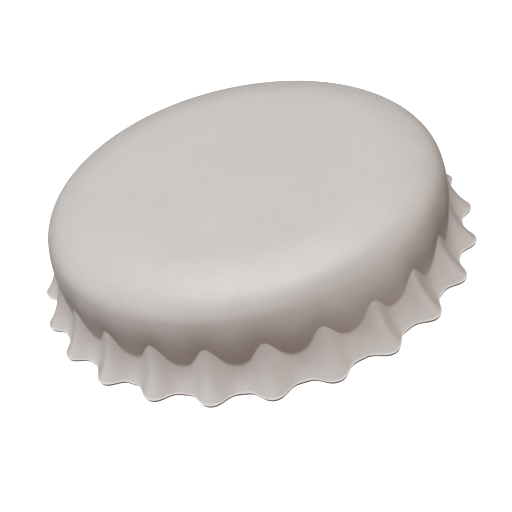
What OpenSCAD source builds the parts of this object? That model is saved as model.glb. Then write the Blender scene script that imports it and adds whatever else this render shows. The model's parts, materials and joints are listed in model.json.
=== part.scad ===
// Crown cap: a pressed sheet-metal cup with a fluted, flared skirt, and the
// moulded disc that seals the bottle's lip inside it.
// The cap stands on its tooth tips at z = 0, with the panel on top.

/* [Cup] */
// Inside diameter of the straight wall, which takes the bottle's lip
bore_d = 26.75; // [24:0.05:30]
// Thickness of the sheet
sheet = 0.235; // [0.2:0.005:0.3]
// Height from the tooth tips to the top of the panel
height = 7.0; // [6.6:0.1:8.5]

/* [Shoulder] */
// Radius of the brow, where the flat panel begins to fall
brow_r = 8.8; // [6:0.1:10]
// Slope at which the brow runs into the corner, in degrees
brow_slope = 17.5; // [12:0.5:22]
// Radius of the corner
corner_r = 1.95; // [1.6:0.05:2.5]
// Slope at which the corner runs into the flank, in degrees
corner_slope = 78; // [70:1:82]
// Radius of the flank, which runs into the straight wall
flank_r = 6; // [4:0.1:7]

/* [Skirt] */
// Number of teeth
teeth = 24; // [18:1:30]
// How far the tooth tips stand out from the wall
tip_reach = 1.62; // [1.3:0.01:2.2]
// How far the rim stands out from the wall in the valleys between the teeth
valley_reach = 0.7; // [0.4:0.01:1.1]
// Height at which a ridge leaves the wall
ridge_top = 3.35; // [2.8:0.05:3.6]
// Height at which a valley leaves the wall
valley_top = 2.02; // [1.5:0.01:2.5]
// How much narrower the ridges are than the valleys at the wall, 0 for equal
wall_pinch = 0.16; // [0:0.01:0.22]
// How much narrower the teeth are than the valleys at the rim, 0 for equal
rim_pinch = 0.12; // [0:0.01:0.22]
// Share of the flare that is straight from the wall down
flare_straight = 0.38; // [0.25:0.01:0.6]
// How late the rest of the flare comes, as a power of the way down
flare_power = 2.5; // [2:0.1:3.2]

/* [Liner] */
// Gap between the liner and the sheet above it, filled by the bond
bond_gap = 0.05; // [0.03:0.01:0.1]
// Thickness of the membrane in the middle
membrane = 0.35; // [0.25:0.05:0.6]
// Diameter inside the sealing ring
ring_bore_d = 20.6; // [18:0.1:22]
// Depth of the sealing ring below the sheet
ring_depth = 1.3; // [1:0.05:1.6]
// Radius of the ring's inner edge
ring_edge_r = 0.4; // [0.2:0.05:0.6]

/* [Hidden] */
$fn = 180;

shell_colour = [0.78, 0.75, 0.73];
liner_colour = [0.87, 0.87, 0.84];

// Fineness of the skirt's surface
columns_per_tooth = 12;
skirt_rows = 6;
row_spread = 0.8;

// The outer wall, and the arc centres that lead up from it to the flat panel.
// A slope is measured from the flat, so 0 is the panel and 90 is the wall.
wall_r = bore_d / 2 + sheet;
brow_run = brow_r * sin(brow_slope);
corner_run = corner_r * (sin(corner_slope) - sin(brow_slope));
flank_run = flank_r * (1 - sin(corner_slope));
flat_r = wall_r - brow_run - corner_run - flank_run;
brow_centre = [flat_r, height - brow_r];
corner_centre = brow_centre + (brow_r - corner_r) * slope_normal(brow_slope);
flank_centre = corner_centre + (corner_r - flank_r) * slope_normal(corner_slope);

// The sheet is cut square, so the rim's outer edge stands above its inner edge,
// and at the tooth tips the inner edge touches z = 0. Two turns settle the height.
rim_z = edge_rise(edge_rise(0));

// How far the forming solids run past the surfaces that they trim: down, into
// the rim, up the wall as a share of the skirt, and past the rim likewise
overrun = 2;
rim_cut = 2 * sheet;
skirt_root = -0.2;
inner_last_row = 0.95;
inner_overrun_row = 1.08;

inner_top = height - sheet;
ring_low = inner_top - ring_depth;

// Unit normal, as [radius, height], of a surface at a slope
function slope_normal(slope) = [sin(slope), cos(slope)];

// Flare at a share of the way down the skirt, 0 at the wall and 1 at the rim
function flare(down) =
    flare_straight * down
    + (1 - flare_straight) * pow(max(down, 0), flare_power);
function flare_rate(down) =
    flare_straight
    + (1 - flare_straight) * flare_power * pow(max(down, 0), flare_power - 1);

// Rise of a tooth tip's outer edge over its inner one, from a first guess at it
function edge_rise(guess) =
    sheet * sin(atan2(tip_reach * flare_rate(1), ridge_top - guess));

// Flute wave, 1 on a ridge and 0 in a valley
function wave(angle, pinch) =
    (1 + cos(teeth * angle)) / 2 - pinch * pow(sin(teeth * angle), 2);

// Point on the skirt's outer side
function skirt_point(angle, down) =
    let (
        top = valley_top + (ridge_top - valley_top) * wave(angle, wall_pinch),
        reach = valley_reach + (tip_reach - valley_reach) * wave(angle, rim_pinch),
        r = wall_r + reach * flare(down)
    )
    [r * cos(angle), r * sin(angle), top + (rim_z - top) * down];

// Outward unit normal of the skirt, from the surface's two directions
function skirt_normal(angle, down) =
    let (
        step = 0.01,
        along = skirt_point(angle + step, down) - skirt_point(angle - step, down),
        up = skirt_point(angle, down - step) - skirt_point(angle, down + step),
        n = cross(along, up)
    )
    n / norm(n);

// Point at a depth below the skirt's outer side
function sheet_point(angle, down, depth) =
    skirt_point(angle, down) - depth * skirt_normal(angle, down);

// Part of a disc between two slopes, seen from its centre
module arc_sector(centre, r, slope_from, slope_to) {
    intersection() {
        translate(centre) circle(r);
        polygon([
            centre,
            centre + 2 * r * slope_normal(slope_from),
            centre + 2 * r * slope_normal(slope_to)
        ]);
    }
}

// Half section of the cup's surface, moved in by a depth, filled down to a height
module cup_section(depth, low) {
    polygon([
        [0, low],
        [wall_r - depth, low],
        [wall_r - depth, flank_centre[1]],
        flank_centre + (flank_r - depth) * slope_normal(corner_slope),
        brow_centre + (brow_r - depth) * slope_normal(brow_slope),
        [flat_r, height - depth],
        [0, height - depth]
    ]);
    arc_sector(brow_centre, brow_r - depth, 0, brow_slope);
    arc_sector(corner_centre, corner_r - depth, brow_slope, corner_slope);
    arc_sector(flank_centre, flank_r - depth, corner_slope, 90);
}

// Closed solid between rings of points, from the top ring down
module ringed_solid(rings) {
    n = len(rings[0]);
    m = len(rings);
    top = [0, 0, rings[0][0][2]];
    low = [0, 0, rings[m - 1][0][2]];
    sides = [
        for (k = [0 : m - 2], i = [0 : n - 1])
            let (j = (i + 1) % n, a = k * n, b = a + n)
            each [[a + i, b + j, b + i], [a + i, a + j, b + j]]
    ];
    caps = [
        for (i = [0 : n - 1])
            let (j = (i + 1) % n, last = (m - 1) * n)
            each [[m * n, j, i], [m * n + 1, last + i, last + j]]
    ];
    polyhedron(points = concat([for (ring = rings) each ring], [top, low]), faces = concat(sides, caps));
}

// Angles of the skirt's columns, moved on by a share of a column
function column_angles(shift) =
    let (n = teeth * columns_per_tooth)
    [for (i = [0 : n - 1]) (i + shift) * 360 / n];

// Everything inside the skirt's outer side, closed along the square-cut rim
module skirt_outside() {
    angles = column_angles(0.25);
    downs = [for (k = [1 : skirt_rows]) pow(k / skirt_rows, row_spread)];
    ringed_solid(concat(
        [for (down = concat([skirt_root], downs)) [for (a = angles) skirt_point(a, down)]],
        [[for (a = angles) sheet_point(a, 1, rim_cut)]]
    ));
}

// Everything inside the skirt's inner side, running out past the rim and down
module skirt_inside() {
    angles = column_angles(0.75);
    downs = [for (k = [1 : skirt_rows]) inner_last_row * pow(k / skirt_rows, row_spread)];
    last_ring = [for (a = angles) sheet_point(a, inner_overrun_row, sheet)];
    ringed_solid(concat(
        [for (down = concat([skirt_root], downs)) [for (a = angles) sheet_point(a, down, sheet)]],
        [last_ring],
        [[for (p = last_ring) [p[0], p[1], -overrun]]]
    ));
}

// Pressed cup with its fluted skirt, one sheet all over
module shell() {
    color(shell_colour)
    difference() {
        union() {
            rotate_extrude() cup_section(0, valley_top / 2);
            skirt_outside();
        }
        rotate_extrude() cup_section(sheet, -overrun);
        skirt_inside();
    }
}

// Moulded disc under the panel, with a thick ring where the bottle's lip bears
module liner() {
    color(liner_colour)
    rotate_extrude()
    intersection() {
        cup_section(sheet + bond_gap, ring_low);
        union() {
            translate([0, inner_top - bond_gap - membrane])
                square([ring_bore_d / 2 + ring_edge_r, membrane + bond_gap]);
            translate([ring_bore_d / 2, ring_low + ring_edge_r])
                square([wall_r, ring_depth]);
            translate([ring_bore_d / 2 + ring_edge_r, ring_low])
                square([wall_r, ring_depth]);
            translate([ring_bore_d / 2 + ring_edge_r, ring_low + ring_edge_r])
                circle(ring_edge_r);
        }
    }
}

shell();
liner();
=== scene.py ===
import json
import math

import bpy
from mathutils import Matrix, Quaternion, Vector


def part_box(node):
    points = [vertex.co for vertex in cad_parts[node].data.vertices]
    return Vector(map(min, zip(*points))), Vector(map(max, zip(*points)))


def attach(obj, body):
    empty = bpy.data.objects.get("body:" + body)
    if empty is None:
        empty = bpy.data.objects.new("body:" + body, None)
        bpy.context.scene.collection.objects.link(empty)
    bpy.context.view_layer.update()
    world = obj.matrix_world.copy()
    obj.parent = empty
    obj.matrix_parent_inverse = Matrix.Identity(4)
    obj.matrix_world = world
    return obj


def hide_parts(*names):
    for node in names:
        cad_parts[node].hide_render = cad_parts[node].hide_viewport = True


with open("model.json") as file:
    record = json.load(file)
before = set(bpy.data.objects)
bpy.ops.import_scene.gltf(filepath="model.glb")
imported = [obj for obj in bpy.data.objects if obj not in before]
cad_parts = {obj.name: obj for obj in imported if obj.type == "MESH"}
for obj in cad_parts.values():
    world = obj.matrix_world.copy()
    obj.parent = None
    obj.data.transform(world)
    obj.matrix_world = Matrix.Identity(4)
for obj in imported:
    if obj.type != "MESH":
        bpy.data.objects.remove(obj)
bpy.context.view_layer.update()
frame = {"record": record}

mm = 0.001
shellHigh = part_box("shell")[1]
mounts = {mount["name"]: mount for mount in frame["record"]["mounts"]}
print("frame loaded: cap", round(shellHigh.z / mm, 2), "mm high")


class Field:
    # a number in a node tree, so that a formula can be written as one
    def __init__(self, tree, socket):
        self.tree = tree
        self.socket = socket

    def calc(self, operation, *others):
        node = self.tree.nodes.new("ShaderNodeMath")
        node.operation = operation
        for place, value in zip(node.inputs, (self, *others)):
            feed(self.tree, value, place)
        return Field(self.tree, node.outputs[0])

    def __add__(self, other):
        return self.calc("ADD", other)

    def __sub__(self, other):
        return self.calc("SUBTRACT", other)

    def __rsub__(self, other):
        return self.calc("MULTIPLY", -1) + other

    def __mul__(self, other):
        return self.calc("MULTIPLY", other)

    def __truediv__(self, other):
        return self.calc("DIVIDE", other)

    __radd__ = __add__
    __rmul__ = __mul__


def feed(tree, value, place):
    if isinstance(value, Field):
        tree.links.new(value.socket, place)
    else:
        place.default_value = value


def addNode(tree, kind, inputs=None, **settings):
    node = tree.nodes.new(kind)
    for name, value in settings.items():
        setattr(node, name, value)
    for name, value in (inputs or {}).items():
        place = node.inputs[name]
        if isinstance(value, bpy.types.NodeSocket):
            tree.links.new(value, place)
        else:
            feed(tree, value, place)
    return node


def makeDriftGroup():
    # a slow or fine unevenness, from Least to Most, which every finish here has in its own size
    tree = bpy.data.node_groups.new("drift", "ShaderNodeTree")
    face = tree.interface
    face.new_socket(name="Place", in_out="INPUT", socket_type="NodeSocketVector")
    for name, value in (("Scale", 100.0), ("Detail", 2.0), ("Grit", 0.5), ("Least", 0.0), ("Most", 1.0)):
        face.new_socket(name=name, in_out="INPUT", socket_type="NodeSocketFloat").default_value = value
    face.new_socket(name="Value", in_out="OUTPUT", socket_type="NodeSocketFloat")
    entry = tree.nodes.new("NodeGroupInput").outputs
    cloud = addNode(tree, "ShaderNodeTexNoise",
                    {"Vector": entry["Place"], "Scale": entry["Scale"], "Detail": entry["Detail"],
                     "Roughness": entry["Grit"]})
    fitted = addNode(tree, "ShaderNodeMapRange",
                     {"Value": cloud.outputs["Fac"], "From Min": 0.3, "From Max": 0.7,
                      "To Min": entry["Least"], "To Max": entry["Most"]})
    leave = tree.nodes.new("NodeGroupOutput")
    tree.links.new(fitted.outputs["Result"], leave.inputs["Value"])
    return tree


driftGroup = makeDriftGroup()


def drift(tree, place, scale, least=0.0, most=1.0, detail=2.0, grit=0.5):
    sizes = {"Place": place, "Scale": scale, "Detail": detail, "Grit": grit, "Least": least, "Most": most}
    return addNode(tree, "ShaderNodeGroup", node_tree=driftGroup, inputs=sizes).outputs["Value"]


def newMaterial(name, evenly):
    # evenly: what is the same all over the surface, by the names of the shader's sockets
    material = bpy.data.materials.new(name)
    material.use_nodes = True
    tree = material.node_tree
    shader = tree.nodes["Principled BSDF"]
    for socket, value in evenly.items():
        shader.inputs[socket].default_value = value
    place = addNode(tree, "ShaderNodeTexCoord").outputs["Object"]
    return material, tree, shader, place


def mixColours(tree, factor, first, second):
    # each colour is a fixed one or comes from another node
    node = addNode(tree, "ShaderNodeMix", data_type="RGBA")
    tree.links.new(factor, node.inputs["Factor"])
    for place, colour in ((node.inputs[6], first), (node.inputs[7], second)):  # the colours A and B
        if isinstance(colour, bpy.types.NodeSocket):
            tree.links.new(colour, place)
        else:
            place.default_value = colour
    return node.outputs[2]


def bumpFrom(tree, height, depth, strength):
    sizes = {"Height": height, "Distance": depth, "Strength": strength}
    return addNode(tree, "ShaderNodeBump", sizes).outputs["Normal"]


lacquerSettings = {
    "colour": (0.610, 0.578, 0.556, 1),
    "colourWorn": (0.594, 0.561, 0.538, 1),
    "colourCrease": (0.575, 0.510, 0.465, 1),  # painted shade at the foot of the wall, above the flutes
    "colourThin": (0.725, 0.695, 0.672, 1),  # painted light: the coat paler down the skirt towards the rim
    "metallic": (0.75, 1.0),  # share of aluminium pigment in the coat, and in the band of painted shade above the flutes
    "roughness": (0.56, 0.62),  # least and most
    "grimeRoughness": 0.5,
    "peelScale": 2600.0,  # orange peel, per metre
    "peelDepth": 0.0006 * mm,
    "flakeScale": 14000.0,  # pigment flakes
    "flakeTone": (0.96, 1.04),
    "cloudScale": 160.0,
    "hazeScale": 800.0,
}


def makeLacquer():
    # light satin coat with aluminium pigment, baked on: soft clouds in its tone, fine orange peel, painted
    # shade above the flutes and painted light towards the rim
    s = lacquerSettings
    material, tree, shader, place = newMaterial("satinLacquer", {})
    cloud = drift(tree, place, s["cloudScale"], detail=4.0, grit=0.55)
    colour = mixColours(tree, cloud, s["colour"], s["colourWorn"])
    rim = addNode(tree, "ShaderNodeAttribute", attribute_name="nearRim").outputs["Fac"]
    crease = addNode(tree, "ShaderNodeAttribute", attribute_name="nearCrease").outputs["Fac"]
    # the colour is paled towards the rim as painted light, then darkened above the flutes as painted shade
    paintedLightAndShade = mixColours(tree, crease, mixColours(tree, rim, colour, s["colourThin"]), s["colourCrease"])
    flake = drift(tree, place, s["flakeScale"], *s["flakeTone"], detail=1.0)
    sparkle = addNode(tree, "ShaderNodeVectorMath", {"Vector": paintedLightAndShade, "Scale": flake}, operation="SCALE")
    tree.links.new(sparkle.outputs["Vector"], shader.inputs["Base Color"])
    clean, creaseShaded = s["metallic"]
    shine = addNode(tree, "ShaderNodeMapRange", {"Value": crease, "To Min": clean, "To Max": creaseShaded})
    tree.links.new(shine.outputs["Result"], shader.inputs["Metallic"])
    haze = drift(tree, place, s["hazeScale"], *s["roughness"], detail=3.0)
    dull = addNode(tree, "ShaderNodeMix", {"Factor": crease, "A": haze, "B": s["grimeRoughness"]})
    tree.links.new(dull.outputs["Result"], shader.inputs["Roughness"])
    peel = drift(tree, place, s["peelScale"], grit=0.4)
    tree.links.new(bumpFrom(tree, peel, s["peelDepth"], strength=0.5), shader.inputs["Normal"])
    return material


innerSettings = {
    "colour": (0.56, 0.55, 0.53, 1),
    "colourPale": (0.62, 0.61, 0.59, 1),
    "grainScale": 900.0,
    "grainStretch": (0.03, 1.0, 1.0),  # drawn out along the way the plate was rolled
    "grainDepth": 0.002 * mm,
    "roughness": (0.30, 0.42),
    "evenly": {"Metallic": 0.75, "Coat Weight": 0.3, "Coat Roughness": 0.25},
}


def makeInnerCoat():
    # clear lacquer on tinplate: the mill's straight rolling grain shows through
    s = innerSettings
    material, tree, shader, place = newMaterial("clearCoatedPlate", s["evenly"])
    drawnOut = {"Vector": place, "Scale": s["grainStretch"]}
    along = addNode(tree, "ShaderNodeMapping", drawnOut).outputs["Vector"]
    streak = drift(tree, along, s["grainScale"], detail=5.0, grit=0.65)
    tree.links.new(mixColours(tree, streak, s["colour"], s["colourPale"]), shader.inputs["Base Color"])
    gloss = drift(tree, along, s["grainScale"], *s["roughness"], detail=5.0, grit=0.65)
    tree.links.new(gloss, shader.inputs["Roughness"])
    tree.links.new(bumpFrom(tree, streak, s["grainDepth"], strength=0.25), shader.inputs["Normal"])
    return material


shadedCutSettings = {
    # very dark brown: a little rust, the rest painted shade for the dark line under the rim
    "colourTorn": (0.075, 0.036, 0.020, 1),
    "colourScored": (0.110, 0.062, 0.040, 1),
    "tearScale": 7000.0,
    "tearDepth": 0.01 * mm,
    "roughness": (0.62, 0.80),
    "evenly": {"Metallic": 0.1, "Specular IOR Level": 0.1},
}


def makeShadedCutSteel():
    # steel torn by the blanking die, a little rust brown, and darkened far past that as painted shade for
    # the dark line under the rim
    s = shadedCutSettings
    material, tree, shader, place = newMaterial("tornSteel", s["evenly"])
    tear = drift(tree, place, s["tearScale"], detail=3.0, grit=0.6)
    tree.links.new(mixColours(tree, tear, s["colourTorn"], s["colourScored"]), shader.inputs["Base Color"])
    dull = drift(tree, place, s["tearScale"], *s["roughness"], detail=3.0, grit=0.6)
    tree.links.new(dull, shader.inputs["Roughness"])
    tree.links.new(bumpFrom(tree, tear, s["tearDepth"], strength=0.4), shader.inputs["Normal"])
    return material


highlightEdgeSettings = {
    # near white: a burnished edge, brightened into a painted highlight line along the rim
    "colour": (0.98, 0.96, 0.945, 1),
    "colourRubbed": (0.90, 0.88, 0.865, 1),
    "rubScale": 5000.0,
    "rubDepth": 0.002 * mm,
    "roughness": (0.30, 0.40),
    "evenly": {"Metallic": 0.2},
}


def makeHighlightEdge():
    # the rounded upper corner of the cut, burnished by the die, and painted near white as a highlight line
    s = highlightEdgeSettings
    material, tree, shader, place = newMaterial("burnishedEdge", s["evenly"])
    rub = drift(tree, place, s["rubScale"], detail=3.0)
    tree.links.new(mixColours(tree, rub, s["colour"], s["colourRubbed"]), shader.inputs["Base Color"])
    gloss = drift(tree, place, s["rubScale"], *s["roughness"], detail=3.0)
    tree.links.new(gloss, shader.inputs["Roughness"])
    tree.links.new(bumpFrom(tree, rub, s["rubDepth"], strength=0.3), shader.inputs["Normal"])
    return material


compoundSettings = {
    "colour": (0.78, 0.765, 0.725, 1),
    "colourDeep": (0.71, 0.695, 0.65, 1),
    "flowScale": 420.0,
    "fineScale": 3400.0,
    "fineDepth": 0.004 * mm,
    "roughness": (0.42, 0.55),
    "evenly": {"Subsurface Weight": 0.15, "Subsurface Radius": (0.8 * mm, 0.7 * mm, 0.6 * mm)},
}


def makeCompound():
    # soft moulded sealing compound, off-white, with flow clouds
    s = compoundSettings
    material, tree, shader, place = newMaterial("linerCompound", s["evenly"])
    flow = drift(tree, place, s["flowScale"], detail=3.0)
    tree.links.new(mixColours(tree, flow, s["colour"], s["colourDeep"]), shader.inputs["Base Color"])
    gloss = drift(tree, place, s["flowScale"], *s["roughness"], detail=3.0)
    tree.links.new(gloss, shader.inputs["Roughness"])
    fine = drift(tree, place, s["fineScale"])
    tree.links.new(bumpFrom(tree, fine, s["fineDepth"], strength=0.3), shader.inputs["Normal"])
    return material


lacquer = makeLacquer()
innerCoat = makeInnerCoat()
shadedCutSteel = makeShadedCutSteel()
burnishedEdge = makeHighlightEdge()
compound = makeCompound()
print("materials made")


shellSettings = {
    "sheet": 0.235 * mm,
    "browRadius": 8.8 * mm,  # where the flat panel begins to fall
    "browSlope": math.radians(17.5),
    "cornerRadius": 1.95 * mm,
    "cornerSlope": math.radians(78),
    "flankRadius": 6.0 * mm,  # runs down into the wall
    "wallBow": 15.0 * mm,  # radius at which the wall draws in towards the crease
    "teeth": 24,
    "tipReach": 1.54 * mm,  # how far the rim stands out from the wall
    "valleyReach": 0.69 * mm,
    "valleyLift": 0.055 * mm,  # the rim stands a little higher in the valleys
    "ridgeTop": 3.35 * mm,  # heights of the crease between wall and skirt
    "valleyTop": 1.92 * mm,
    "wallPinch": 0.16,  # how much narrower ridges are than valleys
    "rimPinch": 0.117,
    "rimBreadth": 0.039,  # makes the teeth blunt, and the valleys between them broad
    "ridgeStraight": 0.5,  # share of the flare that is straight, on a ridge and in a valley
    "valleyStraight": 0.4,
    "flarePower": 2.4,
    "ridgeBend": 0.01,  # share of the skirt over which its bend is spread
    "valleyBend": 0.15,
    "rollFall": 0.12 * mm,  # height of the last turn outwards that the blanking die leaves
    "rollRise": 0.048 * mm,  # how far that turn lifts the rim off the flare
    "grimeBand": 3.3 * mm,  # how far up the wall the painted shade above the flutes reaches
    "ridgeGrime": 0.02,  # how far it runs under the crease, as a share of the skirt
    "valleyGrime": 0.16,
    "thinFrom": 0.15,  # where the painted light towards the rim begins, as a share of the skirt
    "thinShare": 0.36,  # how strong that painted light is where the last turn outwards begins
    "edgeRound": 0.028 * mm,  # roll-over that blanking leaves on the cut edge
    "edgeSegments": 3,
    "edgeAngle": math.radians(50),  # only edges sharper than this are rounded
    "burnishLow": 0.1,  # the cut's rounded corner gets the painted highlight where it faces no lower than this, and the cut's painted shade below
    "columnsPerTooth": 20,  # of faces, as the rows are
    "rows": {"panel": 8, "brow": 10, "corner": 16, "flank": 5, "wall": 9, "skirt": 22, "roll": 5},
    "weld": 0.0001 * mm,
}
shellSettings["wallRadius"] = mounts["bottle_mouth"]["dims"]["r_mm"] * mm + shellSettings["sheet"]
shellSettings["height"] = shellHigh.z


def rimHeight():
    # the cut is square to the sheet, so its outer edge stands above the inner one
    s = shellSettings
    rate = s["ridgeStraight"] + (1 - s["ridgeStraight"]) * s["flarePower"]
    height = 0.0
    for turn in range(3):  # slope and height hang on each other, and settle at once
        slope = math.atan2(s["tipReach"] * rate, s["ridgeTop"] - height)
        roll = 2 * s["rollRise"] * math.cos(slope) / s["rollFall"]
        height = s["sheet"] * math.sin(slope + roll) - s["rollRise"] * math.sin(slope)
    return height


def wave(angle, pinch, teeth):
    # 1 on a ridge and 0 in a valley
    turn = angle * teeth
    side = turn.calc("SINE")
    return (turn.calc("COSINE") + 1) * 0.5 - side * side * pinch


def between(low, high, share):
    return low + (high - low) * share


def portion(tree, value, start, end, easing="SMOOTHSTEP"):
    # 0 up to the start and 1 from the end on
    ends = {"Value": value, "From Min": start, "From Max": end}
    step = addNode(tree, "ShaderNodeMapRange", ends, interpolation_type=easing)
    return Field(tree, step.outputs["Result"])


def buildShellTree():
    # a grid whose rows run from the panel's middle to the rim: each stretch adds its own
    # run and its own drop, and the last two follow the flutes
    s = shellSettings
    tree = bpy.data.node_groups.new("pressedShell", "GeometryNodeTree")
    face = tree.interface
    lengths = ["wallRadius", "height", "browRadius", "browSlope", "cornerRadius", "cornerSlope",
               "flankRadius", "wallBow", "tipReach", "valleyReach", "valleyLift", "ridgeTop",
               "valleyTop", "wallPinch", "rimPinch", "rimBreadth", "ridgeStraight",
               "valleyStraight", "flarePower", "ridgeBend", "valleyBend", "rollFall", "rollRise",
               "rimHeight", "grimeBand", "ridgeGrime", "valleyGrime", "thinFrom", "thinShare", "weld"]
    counts = ["teeth", "columnsPerTooth"]
    for name in lengths:
        face.new_socket(name=name, in_out="INPUT", socket_type="NodeSocketFloat")
    for name in counts:
        face.new_socket(name=name, in_out="INPUT", socket_type="NodeSocketInt")
    face.new_socket(name="Geometry", in_out="OUTPUT", socket_type="NodeSocketGeometry")
    entry = tree.nodes.new("NodeGroupInput")
    size = {name: Field(tree, entry.outputs[name]) for name in lengths + counts}

    rowCount = sum(s["rows"].values())
    columns = size["teeth"] * size["columnsPerTooth"]
    grid = addNode(tree, "GeometryNodeMeshGrid",
                   {"Size X": 1.0, "Size Y": 1.0, "Vertices X": columns + 1, "Vertices Y": rowCount + 1})
    spot = addNode(tree, "ShaderNodeSeparateXYZ",
                   {"Vector": tree.nodes.new("GeometryNodeInputPosition").outputs[0]})
    angle = (Field(tree, spot.outputs["X"]) + 0.5) * math.tau
    row = (Field(tree, spot.outputs["Y"]) + 0.5) * rowCount

    share = {}  # how much of each stretch is behind this row, 0 to 1
    start = 0
    for name, count in s["rows"].items():
        easing = "SMOOTHSTEP" if name in ("wall", "skirt") else "LINEAR"
        share[name] = portion(tree, row, start, start + count, easing)
        start += count

    # the flat panel, then three arcs of growing slope
    nothing = row * 0
    run, drop, fullRun, fullDrop = nothing, nothing, nothing, nothing
    arcs = (("brow", "browRadius", nothing, size["browSlope"]),
            ("corner", "cornerRadius", size["browSlope"], size["cornerSlope"]),
            ("flank", "flankRadius", size["cornerSlope"], nothing + math.pi / 2))
    for name, radius, low, high in arcs:
        slope = between(low, high, share[name])
        run = run + size[radius] * (slope.calc("SINE") - low.calc("SINE"))
        drop = drop + size[radius] * (low.calc("COSINE") - slope.calc("COSINE"))
        fullRun = fullRun + size[radius] * (high.calc("SINE") - low.calc("SINE"))
        fullDrop = fullDrop + size[radius] * (low.calc("COSINE") - high.calc("COSINE"))
    radiusHere = (size["wallRadius"] - fullRun) * share["panel"] + run
    heightHere = size["height"] - drop

    # the wall ends at the wavy crease, and the skirt flares below it
    ridge = wave(angle, size["wallPinch"], size["teeth"])
    tooth = wave(angle, size["rimPinch"], size["teeth"])
    crease = between(size["valleyTop"], size["ridgeTop"], ridge)
    fallOfSkirt = crease - size["rimHeight"] - (1 - tooth) * size["valleyLift"]
    rollShare = size["rollFall"] / fallOfSkirt
    down = share["skirt"] * (1 - rollShare) + share["roll"] * rollShare
    turn = angle * size["teeth"]
    blunt = (turn.calc("COSINE") - (turn * 3).calc("COSINE")) * size["rimBreadth"] * down * down
    reach = between(size["valleyReach"], size["tipReach"], tooth + blunt)
    straight = between(size["valleyStraight"], size["ridgeStraight"], tooth)
    bend = between(size["valleyBend"], size["ridgeBend"], tooth)
    bent = down.calc("MINIMUM", bend)
    begin = (bent * bent / (bend * 2) + down - bent) / (1 - bend * 0.5)
    flare = begin * straight + (1 - straight) * down.calc("POWER", size["flarePower"])
    roll = share["roll"] * share["roll"] * size["rollRise"] * math.sqrt(0.5)  # as far out as up
    fall = (size["height"] - fullDrop - crease) * share["wall"]
    waist = fall * fall / (size["wallBow"] * 2)
    radiusHere = radiusHere - waist * (1 - down) + reach * flare + roll
    heightHere = heightHere - fall - fallOfSkirt * down + roll
    place = addNode(tree, "ShaderNodeCombineXYZ",
                    {"X": radiusHere * angle.calc("COSINE"), "Y": radiusHere * angle.calc("SINE"),
                     "Z": heightHere})

    # where shade is painted into the lacquer above the flutes and light towards the rim, kept before the
    # grid's positions are gone
    above = heightHere - (size["valleyTop"] + crease) * 0.5
    creaseShadeEnd = between(size["valleyGrime"], size["ridgeGrime"], tooth)
    creaseShaded = portion(tree, above, size["grimeBand"], 0.0) * portion(tree, down, creaseShadeEnd, 0.0)
    rimLightening = portion(tree, down, size["thinFrom"], 1.0)
    rimLit = between(share["roll"], rimLightening, size["thinShare"])
    marked = grid.outputs["Mesh"]
    for name, value in (("nearCrease", creaseShaded), ("nearRim", rimLit)):
        kept = addNode(tree, "GeometryNodeStoreNamedAttribute",
                       {"Geometry": marked, "Name": name, "Value": value})
        marked = kept.outputs[0]
    formed = addNode(tree, "GeometryNodeSetPosition",
                     {"Geometry": marked, "Position": place.outputs["Vector"]})
    welded = addNode(tree, "GeometryNodeMergeByDistance",
                     {"Geometry": formed.outputs[0], "Distance": size["weld"]})
    outward = addNode(tree, "GeometryNodeFlipFaces", {"Mesh": welded.outputs[0]})
    smooth = addNode(tree, "GeometryNodeSetShadeSmooth", {"Geometry": outward.outputs[0]})
    real = addNode(tree, "GeometryNodeRealizeInstances", {"Geometry": smooth.outputs[0]})
    dressed = addNode(tree, "GeometryNodeSetMaterial",
                      {"Geometry": real.outputs[0], "Material": lacquer})
    leave = tree.nodes.new("NodeGroupOutput")
    tree.links.new(dressed.outputs[0], leave.inputs["Geometry"])
    return tree


def plainMesh(piece, name):
    # the evaluated piece as a mesh of its own, with nothing live left on it
    evaluated = piece.evaluated_get(bpy.context.evaluated_depsgraph_get())
    mesh = bpy.data.meshes.new_from_object(evaluated)
    mesh.name = name
    piece.modifiers.clear()
    piece.data = mesh
    return mesh


def makeShell():
    s = shellSettings
    tree = buildShellTree()
    shell = bpy.data.objects.new("capShell", bpy.data.meshes.new("capShellSeed"))
    bpy.context.scene.collection.objects.link(shell)
    finishes = (None, lacquer, innerCoat, shadedCutSteel, burnishedEdge)  # the tree's mesh has an empty slot
    outer, inner, cut, corner = range(1, len(finishes))
    for material in finishes:
        shell.data.materials.append(material)
    flutes = shell.modifiers.new("flutes", "NODES")
    flutes.node_group = tree
    values = dict(s, rimHeight=rimHeight())
    for item in tree.interface.items_tree:
        if item.in_out == "INPUT":
            flutes[item.identifier] = values[item.name]
    wall = shell.modifiers.new("sheet", "SOLIDIFY")
    wall.thickness = s["sheet"]
    wall.offset = -1  # the tree's mesh is the outer side
    wall.use_even_offset = True
    wall.material_offset = inner - outer
    wall.material_offset_rim = cut - outer
    edge = shell.modifiers.new("rollOver", "BEVEL")
    edge.width = s["edgeRound"]
    edge.segments = s["edgeSegments"]
    edge.limit_method = "ANGLE"
    edge.angle_limit = s["edgeAngle"]
    edge.material = corner
    mesh = plainMesh(shell, "capShell")
    picks = [face.material_index for face in mesh.polygons]
    for face in mesh.polygons:
        if face.material_index == corner and face.normal.z < s["burnishLow"]:
            picks[face.index] = cut  # the lower corner gets the cut's painted shade, the upper one keeps the painted highlight
    mesh.materials.clear()
    for material in finishes[1:]:
        mesh.materials.append(material)
    mesh.polygons.foreach_set("material_index", [pick - 1 for pick in picks])
    return shell


shell = makeShell()
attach(shell, "root")
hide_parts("shell")
print("shell made:", len(shell.data.polygons), "faces")


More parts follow.
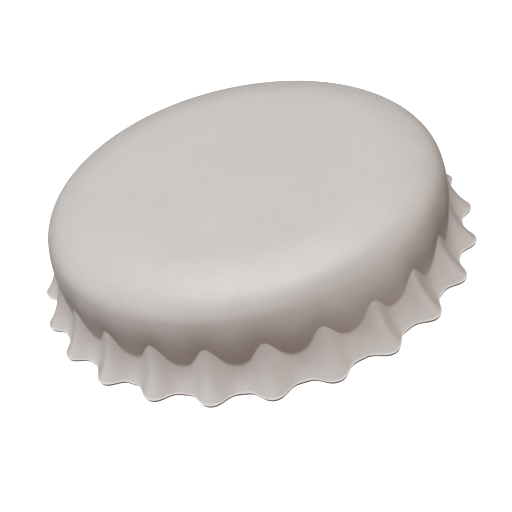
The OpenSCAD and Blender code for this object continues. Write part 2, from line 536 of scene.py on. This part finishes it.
linerSettings = {
    "gap": 0.05 * mm,  # filled by the bond
    "membrane": 0.35 * mm,
    "ringBore": 20.6 * mm,
    "ringDepth": 1.3 * mm,
    "ringEdge": 0.4 * mm,
    "rootFillet": 0.3 * mm,
    "lipRound": 0.12 * mm,
    "grooves": (0.68, 0.36),  # shallow rings turned in the sealing land, as shares of it from inside
    "grooveRadius": 0.22 * mm,
    "grooveDepth": 0.09 * mm,
    "steps": {"brow": 8, "corner": 12, "flank": 6, "lip": 5, "groove": 8, "edge": 8, "root": 6,
              "membrane": 5},  # of faces along each stretch
    "turns": 240,
}


def arcPoints(centre, radius, fromAngle, toAngle, count):
    # angles turn from straight out towards straight up
    points = []
    for step in range(count + 1):
        angle = between(fromAngle, toAngle, step / count)
        points.append((centre[0] + radius * math.cos(angle), centre[1] + radius * math.sin(angle)))
    return points


def underPanel(depth, lowest):
    # outline of the cup at a depth below its outer side, from the middle out and down
    s = shellSettings
    steps = linerSettings["steps"]
    arcs = ((s["browRadius"], 0.0, s["browSlope"], steps["brow"]),
            (s["cornerRadius"], s["browSlope"], s["cornerSlope"], steps["corner"]),
            (s["flankRadius"], s["cornerSlope"], math.pi / 2, steps["flank"]))
    run = sum(r * (math.sin(high) - math.sin(low)) for r, low, high, count in arcs)
    spot = (s["wallRadius"] - run, s["height"])
    points = [(0.0, s["height"] - depth)]
    for radius, low, high, count in arcs:
        centre = (spot[0] - radius * math.sin(low), spot[1] - radius * math.cos(low))
        points += arcPoints(centre, radius - depth, math.pi / 2 - low, math.pi / 2 - high, count)[:-1]
        spot = (centre[0] + radius * math.sin(high), centre[1] + radius * math.cos(high))
    points.append((spot[0] - depth, spot[1]))
    return [point for point in points if point[1] > lowest]


def turned(name, outline, turns):
    # the outline starts and ends on the axis, and each point between them becomes a ring
    (axis, top), *rings, (axis, bottom) = outline
    angles = [math.tau * step / turns for step in range(turns)]
    points = [(run * math.cos(angle), run * math.sin(angle), height)
              for run, height in rings for angle in angles]
    points += [(axis, 0.0, top), (axis, 0.0, bottom)]
    topPoint = len(points) - 2
    last = topPoint - turns  # where the last ring begins
    faces = []
    for step in range(turns):
        after = (step + 1) % turns
        faces.append((topPoint, step, after))
        for ring in range(0, last, turns):
            faces.append((ring + step, ring + turns + step, ring + turns + after, ring + after))
        faces.append((topPoint + 1, last + after, last + step))
    mesh = bpy.data.meshes.new(name)
    mesh.from_pydata(points, [], faces)
    return mesh


def makeLiner():
    s = linerSettings
    steps = s["steps"]
    inside = shellSettings["height"] - shellSettings["sheet"]
    ringLow = inside - s["ringDepth"]
    membraneLow = inside - s["gap"] - s["membrane"]
    boreRadius = s["ringBore"] / 2
    lip = s["lipRound"]
    outline = underPanel(shellSettings["sheet"] + s["gap"], ringLow + lip)
    edgeRun = outline[-1][0]
    outline += arcPoints((edgeRun - lip, ringLow + lip), lip, 0.0, -math.pi / 2, steps["lip"])
    # the sealing land, with its turned grooves
    landIn = boreRadius + s["ringEdge"]
    landOut = edgeRun - lip
    for share in s["grooves"]:
        middle = between(landIn, landOut, share)
        half = s["grooveRadius"]
        for step in range(steps["groove"] + 1):
            turn = math.pi * step / steps["groove"]
            rise = s["grooveDepth"] * math.sin(turn) ** 2
            outline.append((middle + half * math.cos(turn), ringLow + rise))
    edge = s["ringEdge"]
    outline += arcPoints((boreRadius + edge, ringLow + edge), edge, -math.pi / 2, -math.pi, steps["edge"])
    root = s["rootFillet"]
    outline += arcPoints((boreRadius - root, membraneLow - root), root, 0.0, math.pi / 2, steps["root"])
    for ring in reversed(range(steps["membrane"])):
        outline.append(((boreRadius - root) * ring / steps["membrane"], membraneLow))
    mesh = turned("sealingDisc", outline, s["turns"])
    mesh.shade_smooth()
    mesh.materials.append(compound)
    liner = bpy.data.objects.new("sealingDisc", mesh)
    bpy.context.scene.collection.objects.link(liner)
    return liner


liner = makeLiner()
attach(liner, "root")
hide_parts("liner")
print("liner made:", len(liner.data.polygons), "faces")


stageSettings = {
    "floorSize": 3.0,
    "floorFinish": {"Base Color": (0.85, 0.85, 0.85, 1), "Roughness": 1.0,
                    "Emission Color": (1.0, 1.0, 1.0, 1), "Emission Strength": 1.0},
    "roomColour": (0.02, 0.018, 0.016, 1),
    "backdrop": (1.0, 1.0, 1.0, 1),  # what the camera sees behind the cap from beneath
}

cameraSettings = {
    "place": (4.338 * mm, -62.415 * mm, 45.577 * mm),
    "aim": (0.233 * mm, -5.29 * mm, 3.525 * mm),
    "roll": math.radians(-13.98),
    "lens": 77.68,
    "sensor": 36.0,
    "nearest": 1 * mm,
}


def makeFloor():
    s = stageSettings
    bpy.ops.mesh.primitive_plane_add(size=s["floorSize"])
    floor = bpy.context.object
    floor.name = "floor"
    material, tree, shader, place = newMaterial("paleFloor", s["floorFinish"])
    # clear from beneath, so that the cap's inside can be looked at
    side = tree.nodes.new("ShaderNodeNewGeometry").outputs["Backfacing"]
    clear = tree.nodes.new("ShaderNodeBsdfTransparent").outputs["BSDF"]
    both = addNode(tree, "ShaderNodeMixShader", {"Fac": side})
    tree.links.new(shader.outputs["BSDF"], both.inputs[1])
    tree.links.new(clear, both.inputs[2])
    tree.links.new(both.outputs["Shader"], tree.nodes["Material Output"].inputs["Surface"])
    floor.data.materials.append(material)
    floor.visible_diffuse = False  # only the camera sees it, so the lamps beneath reach the cap's inside
    floor.visible_glossy = False
    floor.visible_shadow = False


def makeCamera():
    s = cameraSettings
    data = bpy.data.cameras.new("camera")
    data.lens = s["lens"]
    data.sensor_width = s["sensor"]
    data.clip_start = s["nearest"]
    camera = bpy.data.objects.new("camera", data)
    camera.location = s["place"]
    look = (Vector(s["aim"]) - Vector(s["place"])).to_track_quat("-Z", "Y")
    camera.rotation_mode = "QUATERNION"
    camera.rotation_quaternion = look @ Quaternion((0, 0, 1), s["roll"])
    bpy.context.scene.collection.objects.link(camera)
    bpy.context.scene.camera = camera


# Soft lamps far off, each a disc of sky. Bearings turn left from the front, in degrees.
lampSettings = {
    "front": {"bearing": 32, "rise": 22, "width": 66, "power": 0.69, "colour": (0.97, 1.0, 1.0)},
    "frontRight": {"bearing": -20, "rise": 20, "width": 50, "power": 0.22, "colour": (1.0, 0.92, 0.90)},
    "left": {"bearing": 89, "rise": 3, "width": 63, "power": 0.58, "colour": (0.97, 0.96, 1.0)},
    "right": {"bearing": -47, "rise": -6, "width": 89, "power": 0.49, "colour": (1.0, 0.92, 0.85)},
    "rightLow": {"bearing": -56, "rise": -8, "width": 66, "power": 0.42, "colour": (1.0, 0.97, 0.98)},
    "rightSide": {"bearing": -90, "rise": 35, "width": 60, "power": 0.22, "colour": (0.63, 0.88, 1.0)},
    "farRight": {"bearing": -95, "rise": 10, "width": 40, "power": 0.15, "colour": (1.0, 0.64, 0.48)},
    "backLeft": {"bearing": 124, "rise": 44, "width": 85, "power": 1.37, "colour": (0.98, 0.99, 1.0)},
    "backRight": {"bearing": -127, "rise": 45, "width": 88, "power": 1.15, "colour": (1.0, 0.93, 0.88)},
    "back": {"bearing": 180, "rise": 40, "width": 60, "power": 0.15, "colour": (1.0, 0.91, 0.80)},
    "overhead": {"bearing": -6, "rise": 73, "width": 53, "power": 0.85, "colour": (0.94, 0.98, 1.0)},
    "glint": {"bearing": 196, "rise": 70, "width": 14, "power": 0.17, "colour": (0.22, 0.64, 1.0)},
    "warmGround": {"bearing": 33, "rise": -8, "width": 110, "power": 0.47, "colour": (1.0, 0.81, 0.74)},
    "beneathBack": {"bearing": 180, "rise": -64, "width": 60, "power": 1.2, "colour": (1.0, 0.97, 0.94)},
    "beneath": {"bearing": 0, "rise": -90, "width": 30, "power": 1.4, "colour": (1.0, 0.98, 0.96)},
}


def makeLamps():
    # the front is where the camera stands
    front = math.atan2(cameraSettings["place"][1], cameraSettings["place"][0])
    for name, s in lampSettings.items():
        data = bpy.data.lights.new(name, "SUN")
        data.energy = s["power"]
        data.angle = math.radians(s["width"])
        data.color = s["colour"]
        lamp = bpy.data.objects.new(name, data)
        turn = front - math.radians(s["bearing"])
        rise = math.radians(s["rise"])
        towards = Vector((math.cos(rise) * math.cos(turn), math.cos(rise) * math.sin(turn), math.sin(rise)))
        lamp.rotation_mode = "QUATERNION"
        lamp.rotation_quaternion = towards.to_track_quat("Z", "Y")
        bpy.context.scene.collection.objects.link(lamp)


def makeWorld():
    s = stageSettings
    world = bpy.data.worlds.new("studio")
    world.use_nodes = True
    tree = world.node_tree
    seen = tree.nodes.new("ShaderNodeLightPath").outputs["Is Camera Ray"]
    colour = mixColours(tree, seen, s["roomColour"], s["backdrop"])
    tree.links.new(colour, tree.nodes["Background"].inputs["Color"])
    bpy.context.scene.world = world


makeFloor()
makeCamera()
makeLamps()
makeWorld()
bpy.context.scene.view_settings.view_transform = "Standard"
print("stage set")
